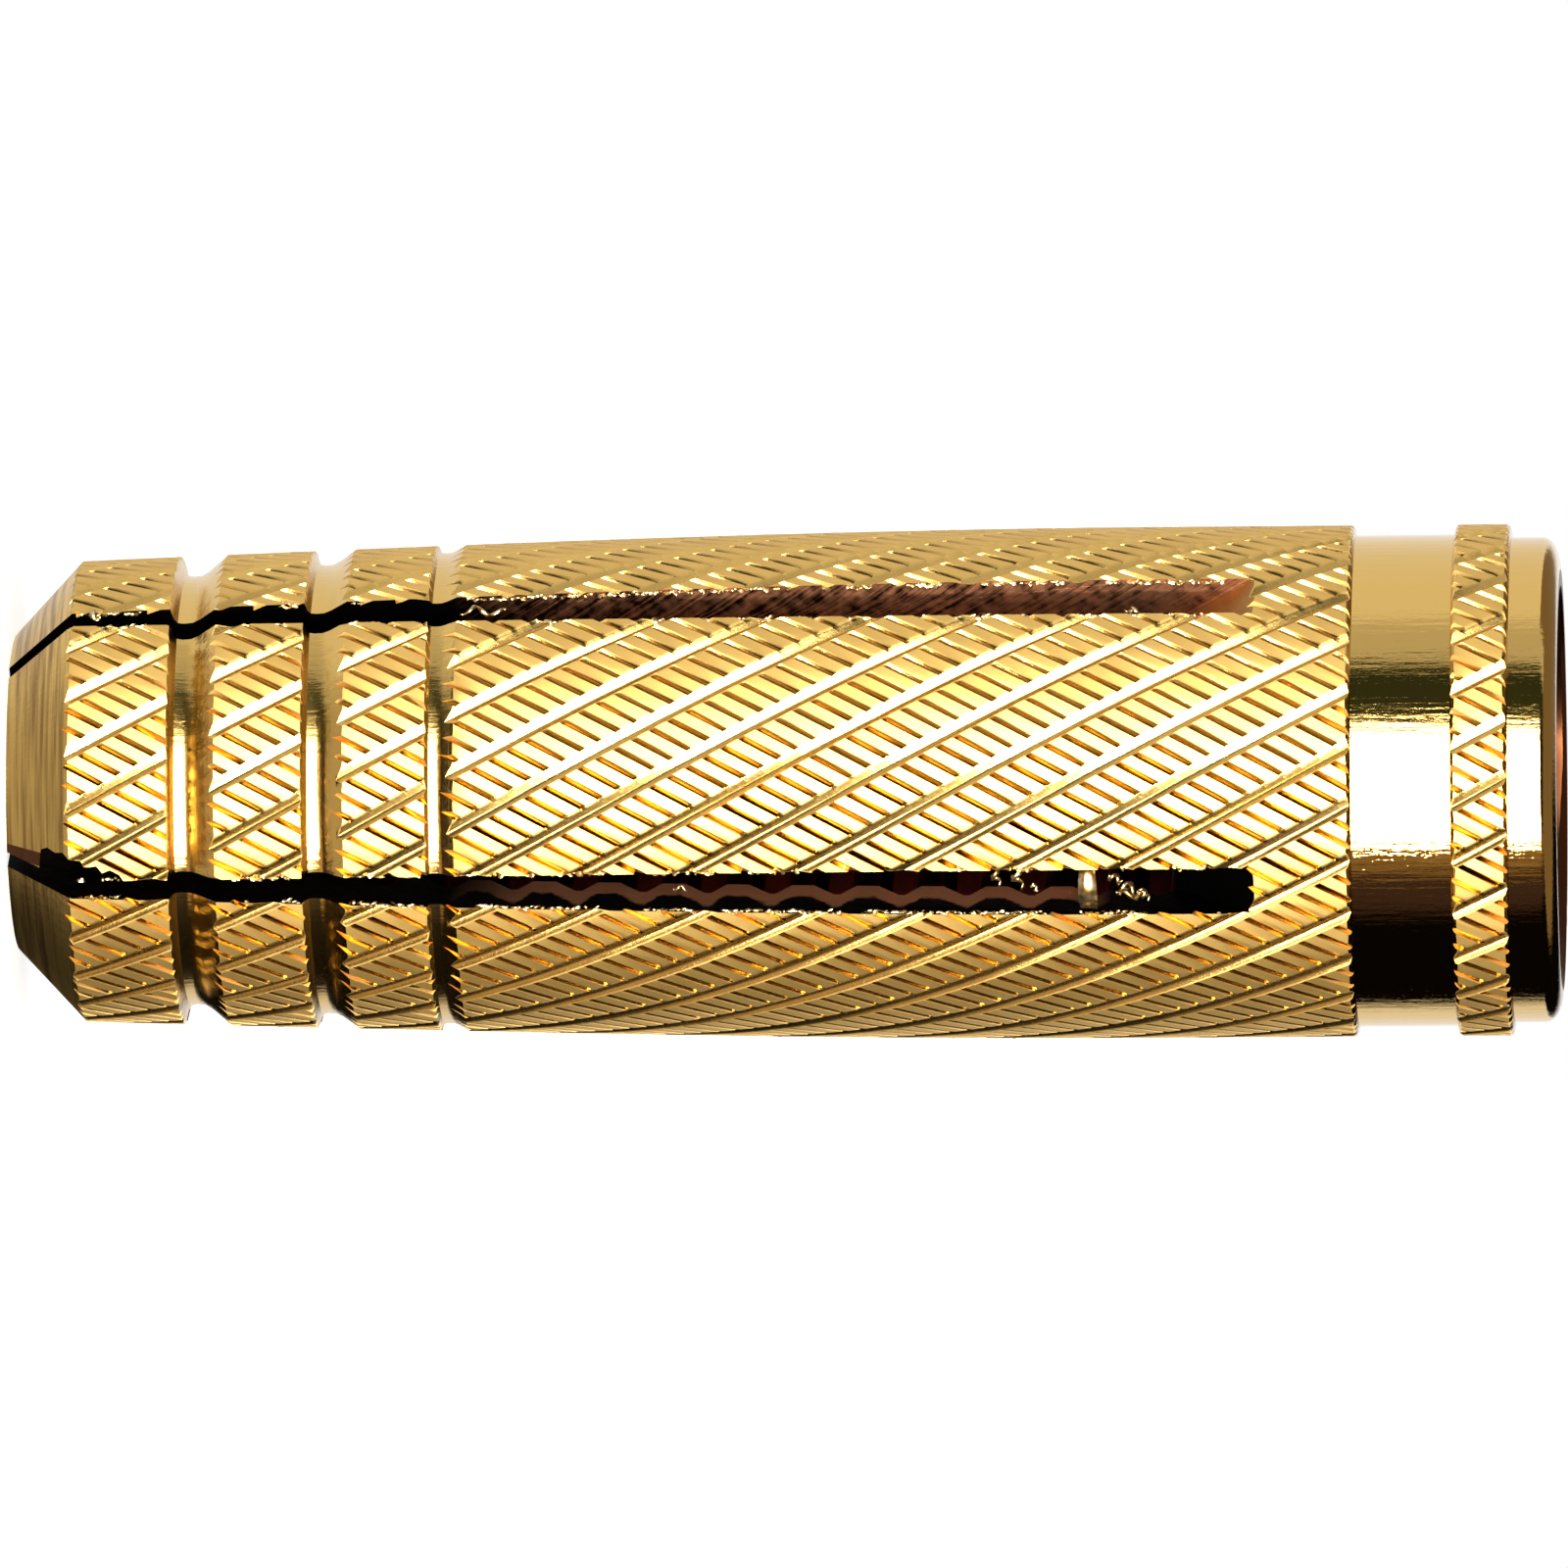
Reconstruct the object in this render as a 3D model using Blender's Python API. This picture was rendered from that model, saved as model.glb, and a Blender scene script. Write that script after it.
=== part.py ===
# Slotted brass expansion anchor for an M8 screw in a 10 mm hole, one solid piece of turned brass.
# It is modelled the way it is made: a bar is knurled, turned and bored, five slots are sawn from the tip,
# and the leaves between them are squeezed inward, so that a screw driven in from the mouth spreads them.
# The sleeve stands on its leaf tips at z = 0, and +Z runs along its axis to the mouth.

import math

import bmesh
import bpy
from mathutils import Vector

mm = 0.001

# The sleeve's length, its radius at the knurl's tops and its wall, from which the other radii are taken
sleeve_length = 30.0 * mm
body_radius = 4.96 * mm
wall_thickness = 1.26 * mm
bore_radius = body_radius - wall_thickness

# Turned outline
tip_drop = 1.36 * mm
tip_radius = body_radius - tip_drop
tip_chamfer_length = 1.32 * mm
body_end_below_mouth = 3.94 * mm
shoulder_round = 0.14 * mm
shoulder_run = 0.03 * mm
shoulder_drop = 0.09 * mm
band_drop = 0.20 * mm
band_radius = body_radius - band_drop
collar_start_below_mouth = 2.04 * mm
collar_width = 1.12 * mm
mouth_ring_drop = 0.26 * mm
mouth_ring_radius = body_radius - mouth_ring_drop
mouth_round_length = 0.32 * mm
mouth_round_steps = 3
mouth_face_rim = 0.38 * mm
mouth_face_radius = bore_radius + mouth_face_rim

# Turned grooves, each with its start above the tip, its width and its depth
grooves = (
    (3.20 * mm, 0.95 * mm, 0.40 * mm),
    (5.80 * mm, 0.85 * mm, 0.29 * mm),
    (8.20 * mm, 0.60 * mm, 0.15 * mm),
)
# A groove's section as shares of its width and depth: a steep wall toward the tip and a long one toward the mouth
groove_section = ((0.0, 0.0), (0.28, 0.95), (0.45, 1.0), (0.78, 0.35), (1.0, 0.0))

# Knurl: helical grooves that climb left-handed
knurl_starts = 28
knurl_depth = 0.08 * mm
knurl_step_along_axis = 2.08 * mm
knurl_turn = math.radians(4.56)
# A groove's flat bottom, its steep edge and its long edge: shares of one start, and of the depth
knurl_section = ((0.0, 1.0), (0.045, 1.0), (0.145, 0.0), (0.83, 0.0))
row_spacing = 1.95 * mm

# Bore
mouth_chamfer = 0.08 * mm
throat_drop = 1.15 * mm
throat_radius = bore_radius - throat_drop
throat_length = 1.20 * mm
cone_length = 5.20 * mm
bore_segments = 48
bore_row_spacing = 3.40 * mm

# Slots
slot_count = 5
slot_width = 0.96 * mm
slot_root_below_mouth = 5.80 * mm
saw_radius = 16.0 * mm
saw_reach = 3.60 * mm
saw_steps = 14
saw_overrun = 1.20 * mm

# How far each leaf's tip is squeezed toward the axis
tip_squeeze = 0.56 * mm


def clear_scene():
    for item in list(bpy.data.objects):
        bpy.data.objects.remove(item, do_unlink=True)


def make_brass():
    brass = bpy.data.materials.new("brass")
    brass.use_nodes = True
    shader = brass.node_tree.nodes["Principled BSDF"]
    shader.inputs["Base Color"].default_value = (0.72, 0.47, 0.13, 1.0)
    shader.inputs["Metallic"].default_value = 1.0
    shader.inputs["Roughness"].default_value = 0.22
    brass.diffuse_color = (0.72, 0.47, 0.13, 1.0)
    return brass


def spread(start, end, spacing):
    # Even stations between two heights, the first left out and the last kept
    count = max(1, math.ceil((end - start) / spacing - 1e-6))
    return [start + (end - start) * step / count for step in range(1, count + 1)]


def outer_profile():
    # Heights and radii of the turned outline from tip to mouth
    body_end = sleeve_length - body_end_below_mouth
    collar_start = sleeve_length - collar_start_below_mouth
    collar_end = collar_start + collar_width
    shoulder = body_radius - shoulder_drop
    knurl_floor = body_radius - knurl_depth
    # The knurl's grooves run out where the tip's chamfer cuts below their floor
    run_out = tip_chamfer_length * (knurl_floor - tip_radius) / (body_radius - tip_radius)
    profile = [(0.0, tip_radius), (run_out, knurl_floor), (tip_chamfer_length, body_radius)]
    for start, width, depth in grooves:
        for height in spread(profile[-1][0], start, row_spacing)[:-1]:
            profile.append((height, body_radius))
        for along, down in groove_section:
            profile.append((start + along * width, body_radius - down * depth))
    for height in spread(profile[-1][0], body_end - shoulder_round, row_spacing):
        profile.append((height, body_radius))
    profile.append((body_end, shoulder))
    profile.append((body_end + shoulder_run, band_radius))
    for height in spread(body_end + shoulder_run, collar_start, row_spacing / 2):
        profile.append((height, band_radius))
    profile.append((collar_start + shoulder_run, shoulder))
    profile.append((collar_start + shoulder_round, body_radius))
    profile.append((collar_end - shoulder_round, body_radius))
    profile.append((collar_end - shoulder_run, shoulder))
    profile.append((collar_end, mouth_ring_radius))
    profile.append((sleeve_length - mouth_round_length, mouth_ring_radius))
    # The mouth's edge rounds over in part of an ellipse onto the flat face
    for step in range(1, mouth_round_steps + 1):
        turn = math.pi / 2 * step / mouth_round_steps
        height = sleeve_length - mouth_round_length * (1 - math.sin(turn))
        radius = mouth_face_radius + (mouth_ring_radius - mouth_face_radius) * math.cos(turn)
        profile.append((height, radius))
    return profile


def bore_profile():
    # Heights and radii of the bore from tip to mouth: a throat, a cone, then the bore that carries the thread
    cone_end = throat_length + cone_length
    top = sleeve_length - mouth_chamfer
    profile = [(0.0, throat_radius), (throat_length, throat_radius), (cone_end, bore_radius)]
    for height in spread(cone_end, top, bore_row_spacing):
        profile.append((height, bore_radius))
    profile.append((sleeve_length, bore_radius + mouth_chamfer))
    return profile


def knurled_ring(height, radius):
    # One ring of points, turned along the knurl's helix, with each groove dipping below the knurl's tops
    start_turn = 2 * math.pi / knurl_starts
    climb = knurl_turn - start_turn * height / knurl_step_along_axis
    points = []
    for start in range(knurl_starts):
        for share, down in knurl_section:
            turn = climb + (start + share) * start_turn
            reach = min(radius, body_radius - down * knurl_depth)
            points.append(Vector((reach * math.cos(turn), reach * math.sin(turn), height)))
    return points


def plain_ring(height, radius):
    points = []
    for step in range(bore_segments):
        turn = 2 * math.pi * step / bore_segments
        points.append(Vector((radius * math.cos(turn), radius * math.sin(turn), height)))
    return points


def sweep(mesh, rings):
    # Skins a stack of rings that have the same number of points, and gives back its first and last loops of edges
    loops = [[mesh.verts.new(point) for point in ring] for ring in rings]
    for lower, upper in zip(loops, loops[1:]):
        for index in range(len(lower)):
            after = (index + 1) % len(lower)
            mesh.faces.new((lower[index], lower[after], upper[after], upper[index]))
    ends = []
    for loop in (loops[0], loops[-1]):
        ends.append([mesh.edges.get((loop[i - 1], loop[i])) for i in range(len(loop))])
    return ends


def make_blank():
    # The knurled, turned and bored sleeve before it is slotted
    mesh = bmesh.new()
    outer_tip, outer_mouth = sweep(mesh, [knurled_ring(z, r) for z, r in outer_profile()])
    bore_tip, bore_mouth = sweep(mesh, [plain_ring(z, r) for z, r in bore_profile()])
    bmesh.ops.triangle_fill(mesh, edges=outer_tip + bore_tip, use_beauty=True)
    bmesh.ops.triangle_fill(mesh, edges=outer_mouth + bore_mouth, use_beauty=True)
    bmesh.ops.triangulate(mesh, faces=mesh.faces)
    bmesh.ops.recalc_face_normals(mesh, faces=mesh.faces)
    data = bpy.data.meshes.new("anchor_sleeve")
    mesh.to_mesh(data)
    mesh.free()
    blank = bpy.data.objects.new("anchor_sleeve", data)
    bpy.context.scene.collection.objects.link(blank)
    return blank


def slot_outline():
    # The saw's path in a plane through the axis: distance from the axis and height, with the round run-out
    saw_floor = body_radius - saw_reach
    saw_axis = saw_floor + saw_radius
    root = sleeve_length - slot_root_below_mouth
    centre_height = root - math.sqrt(saw_radius ** 2 - (saw_axis - body_radius) ** 2)
    outside = body_radius + saw_overrun
    outline = [(outside, -saw_overrun), (saw_floor, -saw_overrun)]
    last_turn = math.acos((saw_axis - outside) / saw_radius)
    for step in range(saw_steps + 1):
        turn = last_turn * step / saw_steps
        outline.append((saw_axis - saw_radius * math.cos(turn), centre_height + saw_radius * math.sin(turn)))
    return outline


def make_saw_cuts():
    # Five flat blades of the slot's width, evenly spaced round the axis, the first over +X
    mesh = bmesh.new()
    outline = slot_outline()
    for slot in range(slot_count):
        turn = 2 * math.pi * slot / slot_count
        outward = Vector((math.cos(turn), math.sin(turn), 0.0))
        sideways = Vector((-math.sin(turn), math.cos(turn), 0.0)) * slot_width / 2
        near = [mesh.verts.new(outward * reach - sideways + Vector((0, 0, z))) for reach, z in outline]
        far = [mesh.verts.new(outward * reach + sideways + Vector((0, 0, z))) for reach, z in outline]
        mesh.faces.new(near)
        mesh.faces.new(list(reversed(far)))
        for index in range(len(outline)):
            mesh.faces.new((near[index - 1], near[index], far[index], far[index - 1]))
    bmesh.ops.recalc_face_normals(mesh, faces=mesh.faces)
    data = bpy.data.meshes.new("saw_cuts")
    mesh.to_mesh(data)
    mesh.free()
    cuts = bpy.data.objects.new("saw_cuts", data)
    cuts.hide_render = True
    cuts.display_type = "WIRE"
    bpy.context.scene.collection.objects.link(cuts)
    return cuts


def cut_slots(blank, cuts):
    # Takes the five slots out of the blank and keeps the result as its mesh
    saw = blank.modifiers.new("slots", "BOOLEAN")
    saw.operation = "DIFFERENCE"
    saw.solver = "EXACT"
    saw.object = cuts
    bpy.context.view_layer.update()
    seen = blank.evaluated_get(bpy.context.evaluated_depsgraph_get())
    slotted = bpy.data.meshes.new_from_object(seen)
    blank.modifiers.remove(saw)
    blank.data = slotted
    bpy.data.objects.remove(cuts, do_unlink=True)


def leaf_free_height():
    # Where the slot breaks into the bore, the leaves come free of the sleeve
    saw_axis = body_radius - saw_reach + saw_radius
    root = sleeve_length - slot_root_below_mouth
    outer_rise = math.sqrt(saw_radius ** 2 - (saw_axis - body_radius) ** 2)
    bore_rise = math.sqrt(saw_radius ** 2 - (saw_axis - bore_radius) ** 2)
    return root - outer_rise + bore_rise


def squeeze_leaves(sleeve):
    # Each leaf bends inward like a beam held at its root and pushed at its tip, and keeps its section
    free_height = leaf_free_height()
    leaf_angle = 2 * math.pi / slot_count
    for vertex in sleeve.data.vertices:
        place = vertex.co
        if place.z >= free_height:
            continue
        leaf = math.floor((math.atan2(place.y, place.x) % (2 * math.pi)) / leaf_angle)
        middle = (leaf + 0.5) * leaf_angle
        share = (free_height - place.z) / free_height
        bend = tip_squeeze * (3 * share ** 2 - share ** 3) / 2
        place.x -= bend * math.cos(middle)
        place.y -= bend * math.sin(middle)


def finish_sleeve(sleeve, brass):
    mesh = bmesh.new()
    mesh.from_mesh(sleeve.data)
    bmesh.ops.triangulate(mesh, faces=mesh.faces)
    bmesh.ops.recalc_face_normals(mesh, faces=mesh.faces)
    mesh.to_mesh(sleeve.data)
    mesh.free()
    sleeve.data.materials.clear()
    sleeve.data.materials.append(brass)
    sleeve.data.shade_smooth()
    sleeve.data.set_sharp_from_angle(angle=math.radians(30))


clear_scene()
anchor_sleeve = make_blank()
cut_slots(anchor_sleeve, make_saw_cuts())
squeeze_leaves(anchor_sleeve)
finish_sleeve(anchor_sleeve, make_brass())
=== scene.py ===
import math
from functools import partial

import bmesh
import bpy
from mathutils import Matrix, Vector


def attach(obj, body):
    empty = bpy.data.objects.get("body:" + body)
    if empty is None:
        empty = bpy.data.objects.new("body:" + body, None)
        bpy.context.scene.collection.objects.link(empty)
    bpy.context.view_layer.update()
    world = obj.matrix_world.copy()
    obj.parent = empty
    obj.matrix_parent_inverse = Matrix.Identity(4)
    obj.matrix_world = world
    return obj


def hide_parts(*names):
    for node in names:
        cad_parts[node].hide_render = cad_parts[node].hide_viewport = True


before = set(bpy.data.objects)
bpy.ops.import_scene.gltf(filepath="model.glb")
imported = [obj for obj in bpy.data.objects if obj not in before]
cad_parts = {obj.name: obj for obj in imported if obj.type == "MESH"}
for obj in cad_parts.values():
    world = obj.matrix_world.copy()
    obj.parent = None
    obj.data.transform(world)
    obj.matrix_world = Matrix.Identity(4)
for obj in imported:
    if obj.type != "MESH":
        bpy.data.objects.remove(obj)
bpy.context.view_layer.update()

# Slotted brass expansion anchor: a knurled, turned, tapped and sawn sleeve on a plain white table
# Lengths in the dictionaries are millimetres, as on a workshop drawing, and heights run up from the leaf tips

mm = 0.001
scene = bpy.context.scene


def linear(hexColour):
    # sRGB hex to the linear colour that the shaders take
    values = [int(hexColour[i:i + 2], 16) / 255 for i in (1, 3, 5)]
    return tuple(v / 12.92 if v <= 0.04045 else ((v + 0.055) / 1.055) ** 2.4 for v in values) + (1.0,)


def fillSockets(tree, node, links):
    # Fills sockets with values, other nodes or their sockets: by name or number, or a row of them from the first on
    for socket, value in links.items() if isinstance(links, dict) else enumerate(links):
        if isinstance(value, bpy.types.Node):
            value = next(out for out in value.outputs if out.enabled)
        if isinstance(value, bpy.types.NodeSocket):
            tree.links.new(value, node.inputs[socket])
        else:
            node.inputs[socket].default_value = value


def addNode(tree, kind, links=None, **settings):
    # Makes one node, sets its settings and fills its sockets; each tree calls it as add, with the tree filled in
    node = tree.nodes.new(kind)
    for name, value in settings.items():
        setattr(node, name, value)
    fillSockets(tree, node, links or {})
    return node


def startMaterial(name):
    made = bpy.data.materials.new(name)
    made.use_nodes = True
    made.node_tree.nodes.clear()
    return made, partial(addNode, made.node_tree)


def startTree(name, inputs):
    # A geometry tree with one input for each entry of a piece's dictionary
    tree = bpy.data.node_groups.new(name, "GeometryNodeTree")
    tree.interface.new_socket("Geometry", in_out="OUTPUT", socket_type="NodeSocketGeometry")
    for label, value in inputs.items():
        kind = "NodeSocketInt" if isinstance(value, int) else "NodeSocketFloat"
        tree.interface.new_socket(label, in_out="INPUT", socket_type=kind)
    add = partial(addNode, tree)
    return tree, add, add("NodeGroupInput").outputs


def addObject(name, data):
    piece = bpy.data.objects.new(name, data)
    scene.collection.objects.link(piece)
    return piece


def joinRings(mesh, before, ring):
    # A band of faces between two closed rings of points
    for index in range(len(ring)):
        mesh.faces.new((before[index - 1], before[index], ring[index], ring[index - 1]))


def polar(radius, turn, height):
    return Vector((radius * math.cos(turn), radius * math.sin(turn), height))


def direction(turn, lift):
    return Vector((math.cos(turn) * math.cos(lift), math.sin(turn) * math.cos(lift), math.sin(lift)))


def addBuilt(name, mesh, solid=True):
    # Turns a bmesh into an object; a solid's faces are first turned outwards
    if solid:
        bmesh.ops.recalc_face_normals(mesh, faces=mesh.faces)
    data = bpy.data.meshes.new(name)
    mesh.to_mesh(data)
    mesh.free()
    return addObject(name, data)


# Camera

camera = {
    "azimuth": 262.7, "elevation": 3.13, "roll": 0.406, "distance": 547.0, "aimHeight": 14.9, "aimRise": 0.019,
    "lens": 647.0, "sensor": 36.0, "nearest": 50.0, "farthest": 10000.0,
}


def placeCamera():
    # The sleeve stands and the camera lies on its side, so the tip is at the left of the picture
    back = direction(math.radians(camera["azimuth"]), math.radians(camera["elevation"]))
    right = (Vector((0, 0, 1)) - back * back.z).normalized()
    up = back.cross(right)
    roll = math.radians(camera["roll"])
    rolledRight = right * math.cos(roll) - up * math.sin(roll)
    rolledUp = up * math.cos(roll) + right * math.sin(roll)
    lens = bpy.data.cameras.new("camera")
    lens.lens = camera["lens"]
    lens.sensor_width = camera["sensor"]
    lens.clip_start, lens.clip_end = camera["nearest"] * mm, camera["farthest"] * mm
    holder = addObject("camera", lens)
    aim = Vector((0, 0, camera["aimHeight"] * mm)) + up * camera["aimRise"] * mm
    turned = Matrix((rolledRight, rolledUp, back)).transposed().to_4x4()
    holder.matrix_world = Matrix.Translation(aim + back * camera["distance"] * mm) @ turned
    scene.camera = holder


placeCamera()
print("camera placed")


# Brass finishes

colours = {
    "barTop": "#DCB566", "barWorn": "#C29A55", "gapOxideAndShade": "#2A1E10",
    "turned": "#D9B366", "turnedLine": "#8E6A3C",
    "sawOil": "#24100B", "sawStreak": "#C88860", "oilShadeBlack": "#050302", "litEdge": "#A8754C", "sawFloor": "#A8804C",
    "boreOilShade": "#3E1F10", "boreOilShadeBrown": "#6E4428", "crestGlint": "#B0645A",
    "tornDull": "#A87C42", "tornBright": "#F2DFA8",
    "laminate": "#C8C8C6",
}
colours = {name: linear(code) for name, code in colours.items()}
zones = {  # where one look gives way to the next, from and to; heights, but for those with a note
    "chamferEnd": (1.34, 1.44), "formedEnd": (10.0, 11.0),
    "sawLighter": (9.0, 23.0), "wallTapped": (8.6, 10.2), "tipDark": (8.6, 10.6), "curl": (20.8, 21.4),
    "slotEnd": (22.8, 23.2), "boreTapped": (6.6, 7.8), "boreDeep": (26.0, 27.5),
    "upperSlot": (-1.0, 0.0),  # along x
    "litEdgeWidth": (0.64, 0.74),  # outwards from the thread's wave
    "crestGlint": (3.68, 3.76),  # radii
    "sawFloor": (-0.10, -0.04),  # upwards from the blade's last arc
}


def fade(zone, start=0, end=1):
    # A zone's limits, and the values below and above it, for a Map Range node's sockets
    low, high = zones[zone]
    return {1: low * mm, 2: high * mm, 3: start, 4: end}


def startMetal(name):
    # A metal with nothing on its sockets yet, and the object's own coordinates to place patterns by
    made, add = startMaterial(name)
    shader = add("ShaderNodeBsdfPrincipled", {"Metallic": 1.0})
    add("ShaderNodeOutputMaterial", {"Surface": shader})
    return made, add, shader, add("ShaderNodeTexCoord").outputs["Object"]


def makeRolledBrass():
    # Brass rolled cold by two hardened wheels: satin bar tops, smoother flanks, brown oxide and painted shade down in
    # the gaps, darker the deeper
    made, add, shader, place = startMetal("rolledBrass")
    gap = add("ShaderNodeAttribute", attribute_name="gapShare").outputs["Fac"]
    groove = add("ShaderNodeAttribute", attribute_name="grooveShare").outputs["Fac"]
    blotch = add("ShaderNodeTexNoise", {"Vector": place, "Scale": 1.1 / mm, "Detail": 3.0})
    grain = add("ShaderNodeTexNoise", {"Vector": place, "Scale": 15.0 / mm, "Detail": 2.0})
    # Painted shade on top of the brown oxide: the gaps darken with their depth
    gapOxideShade = add("ShaderNodeMapRange", (gap, 0.45, 1.0, 0.0, 0.95))
    wearAndGlint = add("ShaderNodeMapRange", (blotch, 0.35, 0.7, 0.0, 0.35))
    tops = add("ShaderNodeMix", {"Factor": wearAndGlint, "A": colours["barTop"], "B": colours["barWorn"]}, data_type="RGBA")
    colour = add("ShaderNodeMix", {"Factor": gapOxideShade, "A": tops, "B": colours["gapOxideAndShade"]}, data_type="RGBA")
    satin = add("ShaderNodeMapRange", (groove, 0.0, 0.3, 0.50, 0.22))
    pressed = add("ShaderNodeMapRange", (gap, 0.0, 0.25, 0.0, 0.34))
    smoother = add("ShaderNodeMath", (satin, pressed), operation="SUBTRACT")
    floored = add("ShaderNodeMath", (smoother, 0.14), operation="MAXIMUM")
    rough = add("ShaderNodeMath", (grain, 0.08, floored), operation="MULTIPLY_ADD")
    bump = add("ShaderNodeBump", {"Height": grain, "Distance": 0.0022 * mm})
    fillSockets(made.node_tree, shader, {"Base Color": colour, "Roughness": rough, "Normal": bump})
    return made


toolMarks = (  # how each pattern is squashed along x, y and z, its waves per millimetre, detail, roughness and height
    ((1.0, 1.0, 0.05), 10.0, 3.0, 0.5, 0.006),  # drawn lines along the axis
    ((1.0, 1.0, 0.35), 11.0, 4.0, 0.7, 0.004),  # short dashes
    ((0.03, 0.03, 1.0), 9.0, 3.0, 0.6, 0.004),  # feed lines round it
)


def makeTurnedBrass():
    # Bright-turned brass: feed lines round the axis, drawn-bar lines along it, duller where the form tool cut
    made, add, shader, place = startMetal("turnedBrass")
    height = add("ShaderNodeSeparateXYZ", {0: place}).outputs["Z"]
    chamfer = add("ShaderNodeMapRange", {0: height, **fade("chamferEnd", 1, 0)})
    formed = add("ShaderNodeMapRange", {0: height, **fade("formedEnd", 1, 0)})
    bump = {}
    for squash, scale, detail, roughness, rise in toolMarks:
        squashed = add("ShaderNodeMapping", {"Vector": place, "Scale": squash})
        marks = add("ShaderNodeTexNoise", {"Vector": squashed, "Scale": scale / mm, "Detail": detail,
                                           "Roughness": roughness})
        bump = {"Normal": add("ShaderNodeBump", {"Height": marks, "Distance": rise * mm, **bump})}
    # The last marks, the feed lines, also stain the chamfer
    streak = add("ShaderNodeMapRange", (marks, 0.42, 0.62, 0.0, 0.85))
    shown = add("ShaderNodeMath", (streak, chamfer), operation="MULTIPLY")
    colour = add("ShaderNodeMix", {"Factor": shown, "A": colours["turned"], "B": colours["turnedLine"]},
        data_type="RGBA")
    dull = add("ShaderNodeMath", (formed, 0.13, 0.06), operation="MULTIPLY_ADD")
    rough = add("ShaderNodeMath", (chamfer, 0.16, dull), operation="MULTIPLY_ADD")
    fillSockets(made.node_tree, shader, {"Base Color": colour, "Roughness": rough, **bump})
    return made


def makeSawnBrass():
    # Brass torn by a round slitting saw: dark with cutting oil, with the arcs that its teeth left across each wall;
    # painted light and shade too: paler towards the mouth, black with oil and painted shade on one wall of each slot
    # and near the tip, and a painted lit band at the bore's edge
    made, add, shader, place = startMetal("sawnBrass")
    apart = add("ShaderNodeSeparateXYZ", {0: place}).outputs
    height = apart["Z"]
    spread = add("ShaderNodeAttribute", attribute_name="cutRadius").outputs["Fac"]
    # Which of the blade's arcs runs through each point of a wall
    arbor, lastArc = bladeAxis()
    inwards = add("ShaderNodeMath", (arbor * mm, spread), operation="SUBTRACT")
    squared = add("ShaderNodeMath", (inwards, inwards), operation="MULTIPLY")
    left = add("ShaderNodeMath", ((saw["radius"] * mm) ** 2, squared), operation="SUBTRACT")
    sagged = add("ShaderNodeMath", {0: left}, operation="SQRT")
    arc = add("ShaderNodeMath", (height, sagged), operation="SUBTRACT")
    arcPlace = add("ShaderNodeCombineXYZ", {"X": arc})
    arcs = add("ShaderNodeTexNoise", {"Vector": arcPlace, "Scale": 6.5 / mm, "Detail": 4.0, "Roughness": 0.65})
    torn = add("ShaderNodeTexNoise", {"Vector": place, "Scale": 4.0 / mm, "Detail": 3.0})
    mixed = add("ShaderNodeMath", (torn, 0.6, arcs), operation="MULTIPLY_ADD")
    # Painted light: the streaks grow paler towards the mouth, where the walls catch more light
    lighterToMouth = add("ShaderNodeMapRange", {0: height, **fade("sawLighter", 0, 0.14)})
    streaksAndLight = add("ShaderNodeMath", (mixed, lighterToMouth), operation="ADD")
    streak = add("ShaderNodeMapRange", (streaksAndLight, 0.74, 1.0, 0.0, 1.0))
    streaked = add("ShaderNodeMix", {"Factor": streak, "A": colours["sawOil"], "B": colours["sawStreak"]},
        data_type="RGBA")
    # Painted light: a lit band along the edge at the bore, in the thread's own wave, on the wall that is otherwise
    # black with painted shade
    heading = add("ShaderNodeMath", (apart["Y"], apart["X"]), operation="ARCTAN2")
    turned = add("ShaderNodeMath", (heading, 2 * math.pi), operation="DIVIDE")
    rise = add("ShaderNodeMath", (height, thread["pitch"] * mm), operation="DIVIDE")
    climb = add("ShaderNodeMath", (rise, turned), operation="SUBTRACT")
    moved = add("ShaderNodeMath", (climb, thread["turn"] / 360 - thread["start"] / thread["pitch"]),
        operation="ADD")
    phase = add("ShaderNodeMath", {0: moved}, operation="FRACT")
    wave = add("ShaderNodeFloatCurve", {"Value": phase})
    curve = wave.mapping.curves[0]
    curve.points[0].location, curve.points[1].location = (0.0, 0.0), (1.0, 0.0)
    for along, depth in thread["section"][1:]:
        curve.points.new(along, depth)
    for point in curve.points:
        point.handle_type = "VECTOR"
    wave.mapping.update()
    deep = (thread["rootRadius"] - thread["crestRadius"]) * mm
    edge = add("ShaderNodeMath", (wave, deep, thread["crestRadius"] * mm), operation="MULTIPLY_ADD")
    beyond = add("ShaderNodeMath", (spread, edge), operation="SUBTRACT")
    ragged = add("ShaderNodeMath", (torn, 0.25 * mm, beyond), operation="MULTIPLY_ADD")
    litEdge = add("ShaderNodeMapRange", {0: ragged, **fade("litEdgeWidth", 1, 0)})
    tapped = add("ShaderNodeMapRange", {0: height, **fade("wallTapped")})
    litEdgeTapped = add("ShaderNodeMath", (litEdge, tapped), operation="MULTIPLY")
    onShadedWall = add("ShaderNodeAttribute", attribute_name="dirtyWall").outputs["Fac"]
    belowEnd = add("ShaderNodeMapRange", {0: height, **fade("curl", 1, 0)})
    reached = add("ShaderNodeMath", (litEdgeTapped, belowEnd), operation="MULTIPLY")
    litBand = add("ShaderNodeMath", (reached, onShadedWall), operation="MULTIPLY")
    atTip = add("ShaderNodeMapRange", {0: height, **fade("tipDark", 1, 0)})
    upperSide = add("ShaderNodeMapRange", {0: apart["X"], **fade("upperSlot", 1, 0)})
    atEnd = add("ShaderNodeMapRange", {0: height, **fade("slotEnd")})
    upperSlotEnd = add("ShaderNodeMath", (upperSide, atEnd), operation="MULTIPLY")
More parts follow.
